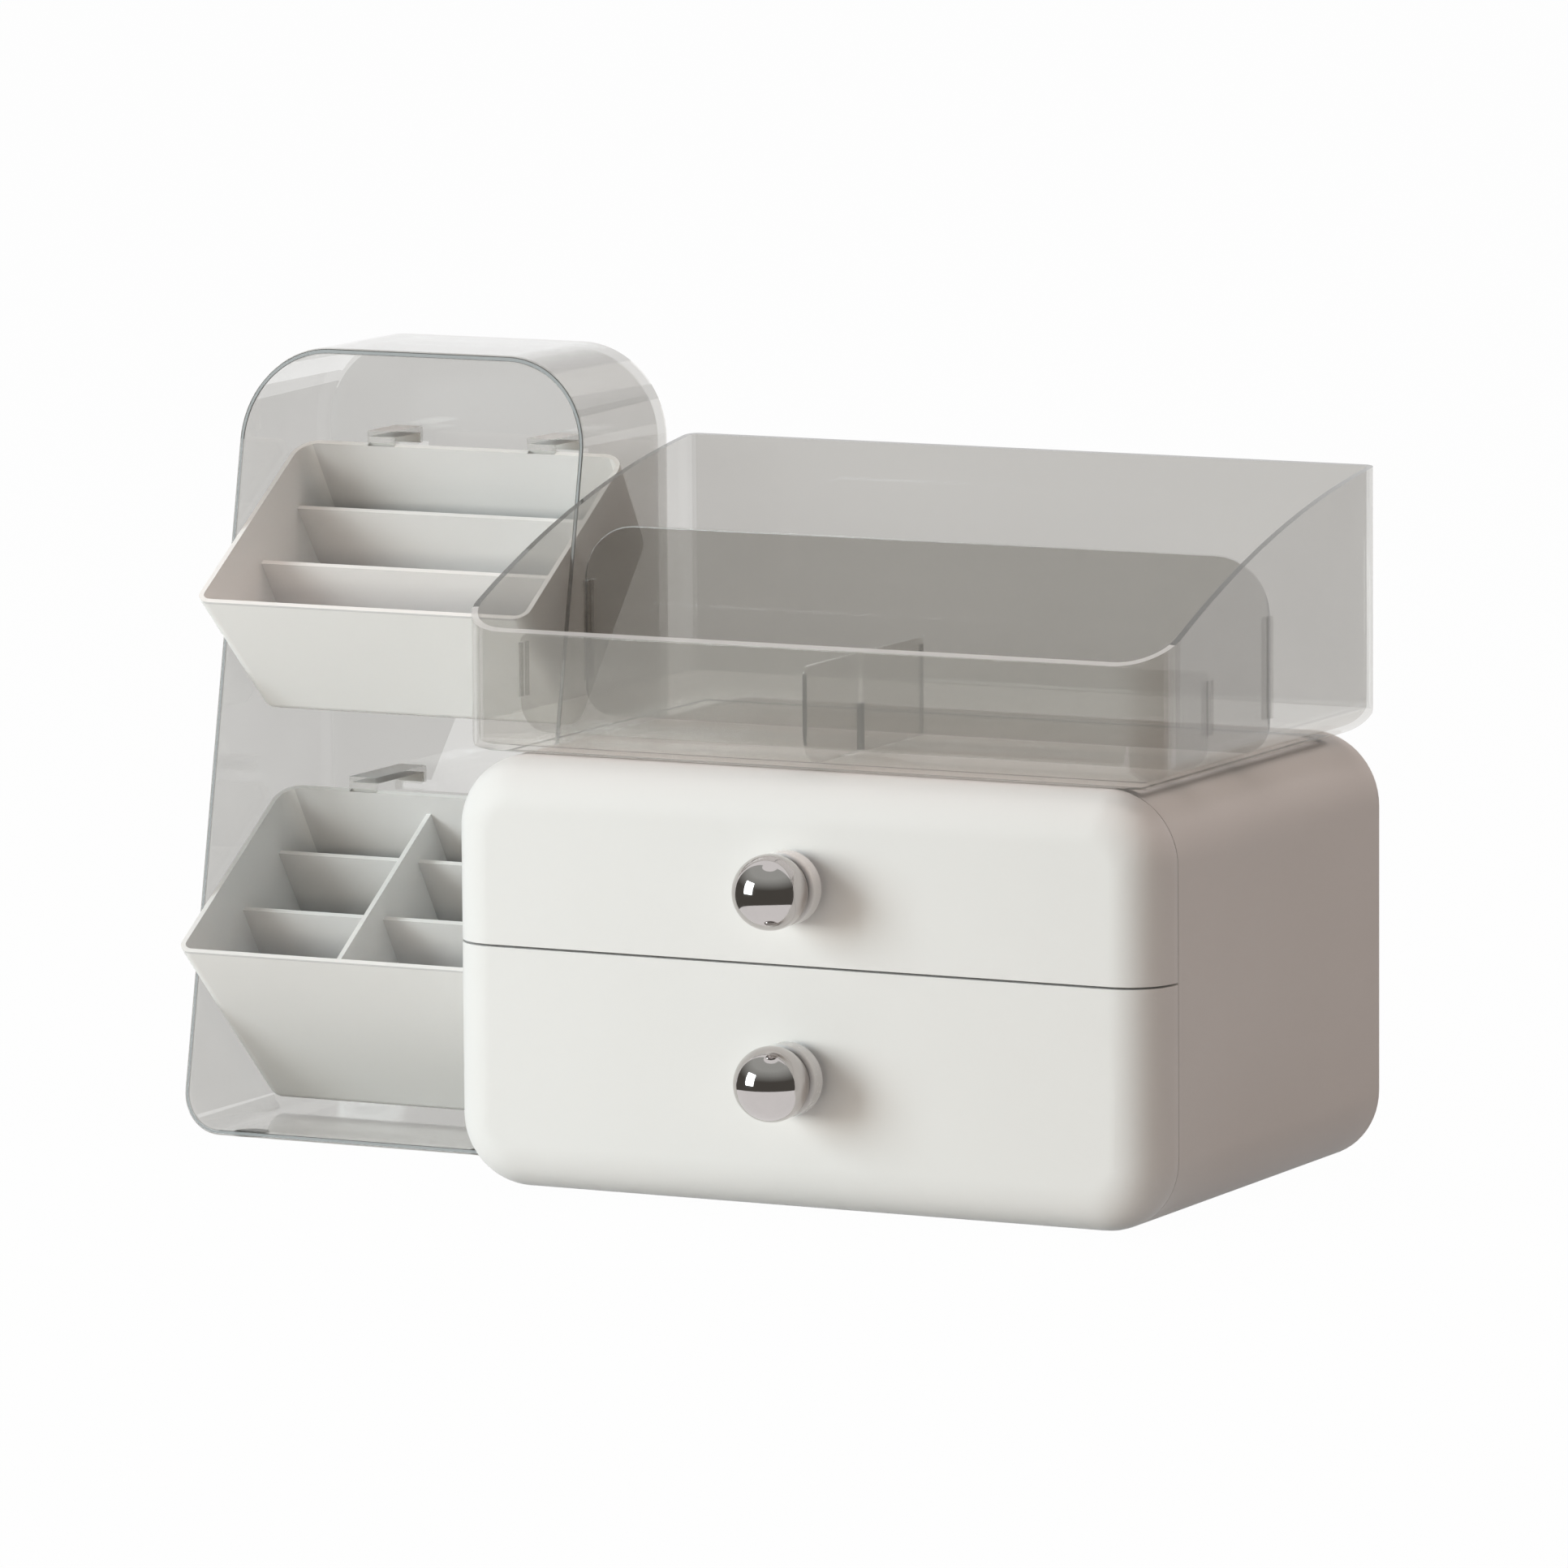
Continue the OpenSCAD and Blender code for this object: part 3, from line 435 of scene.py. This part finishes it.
def makeDividers():
    for node, name, finish in dividers["pieces"]:
        bm = copyOf(node)
        low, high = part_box(node)
        finishNames = [finish, "smoke_rim", "smoke_edge"]
        roundEdges(bm, dividers["round"], dividers["segments"])
        across = 0 if node == "tray_centre_divider" else 1                 # the way its broad faces look
        for face in bm.faces:
            upright = abs(face.normal.z) < dividers["upright"] and abs(face.normal[across]) < dividers["broad"]
            behind = across == 0 and face.calc_center_median().y > 0.5 * (low.y + high.y)
            if upright and face.calc_area() > dividers["tinyArea"] and node != "tray_cross_divider":
                face.material_index = finishNames.index("smoke_edge" if behind else "smoke_rim")
        standIn(bm, name, node, finishNames)


cups = {"round": 0.0006, "segments": 3, "sharper": 40, "smooth": 28, "hookHigh": 0.005, "hookArea": 2e-4,
        "hookAbove": 0.0005, "hookSide": -0.001, "sideways": 0.95, "forward": -0.8, "rowTurn": (-0.62, -0.45),
        "finishes": ["cup_white", "cup_painted_shade", "smoke_hook"],
        "pieces": (("upper_rack_tray", "upperCupTray"), ("lower_rack_tray", "lowerCupTray"))}


def makeCups():
    slot = cups["finishes"].index
    for node, name in cups["pieces"]:
        bm = copyOf(node)
        roundEdges(bm, cups["round"], cups["segments"], cups["sharper"])
        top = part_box(node)[1].z
        for face in bm.faces:
            rise = face.calc_center_median().z - top + cups["hookHigh"]
            side = rise > cups["hookSide"] and abs(face.normal.x) > cups["sideways"]
            if face.calc_area() < cups["hookArea"] and (rise > cups["hookAbove"] or side):
                face.material_index = slot("smoke_hook")                   # painted light: the two hooks get a pale see-through finish in place of the tray's white, so their shaded sides read light
            elif face.normal.y < cups["forward"] and cups["rowTurn"][0] < face.normal.z < cups["rowTurn"][1]:
                face.material_index = slot("cup_painted_shade")                   # painted shade: the fronts of the rows get a darker copy of the cup white, for the shade they lie in
        standIn(bm, name, node, cups["finishes"], cups["smooth"])


fronts = {"round": 0.0004, "segments": 2, "sharper": 50}


def makeFronts():
    for node, name in (("upper_drawer_front", "upperFront"), ("lower_drawer_front", "lowerFront")):
        bm = copyOf(node)
        roundEdges(bm, fronts["round"], fronts["segments"], fronts["sharper"])
        standIn(bm, name, node, ["front_white"])


def makeShell():
    bm = copyOf("chest_shell")
    roundEdges(bm, fronts["round"], fronts["segments"], fronts["sharper"])
    standIn(bm, "chestShell", "chest_shell", ["chest_white"])


for stage in (makeTray, makeRackShell, makeDividers, makeCups, makeFronts, makeShell):
    stage()
    print("made:", stage.__name__)
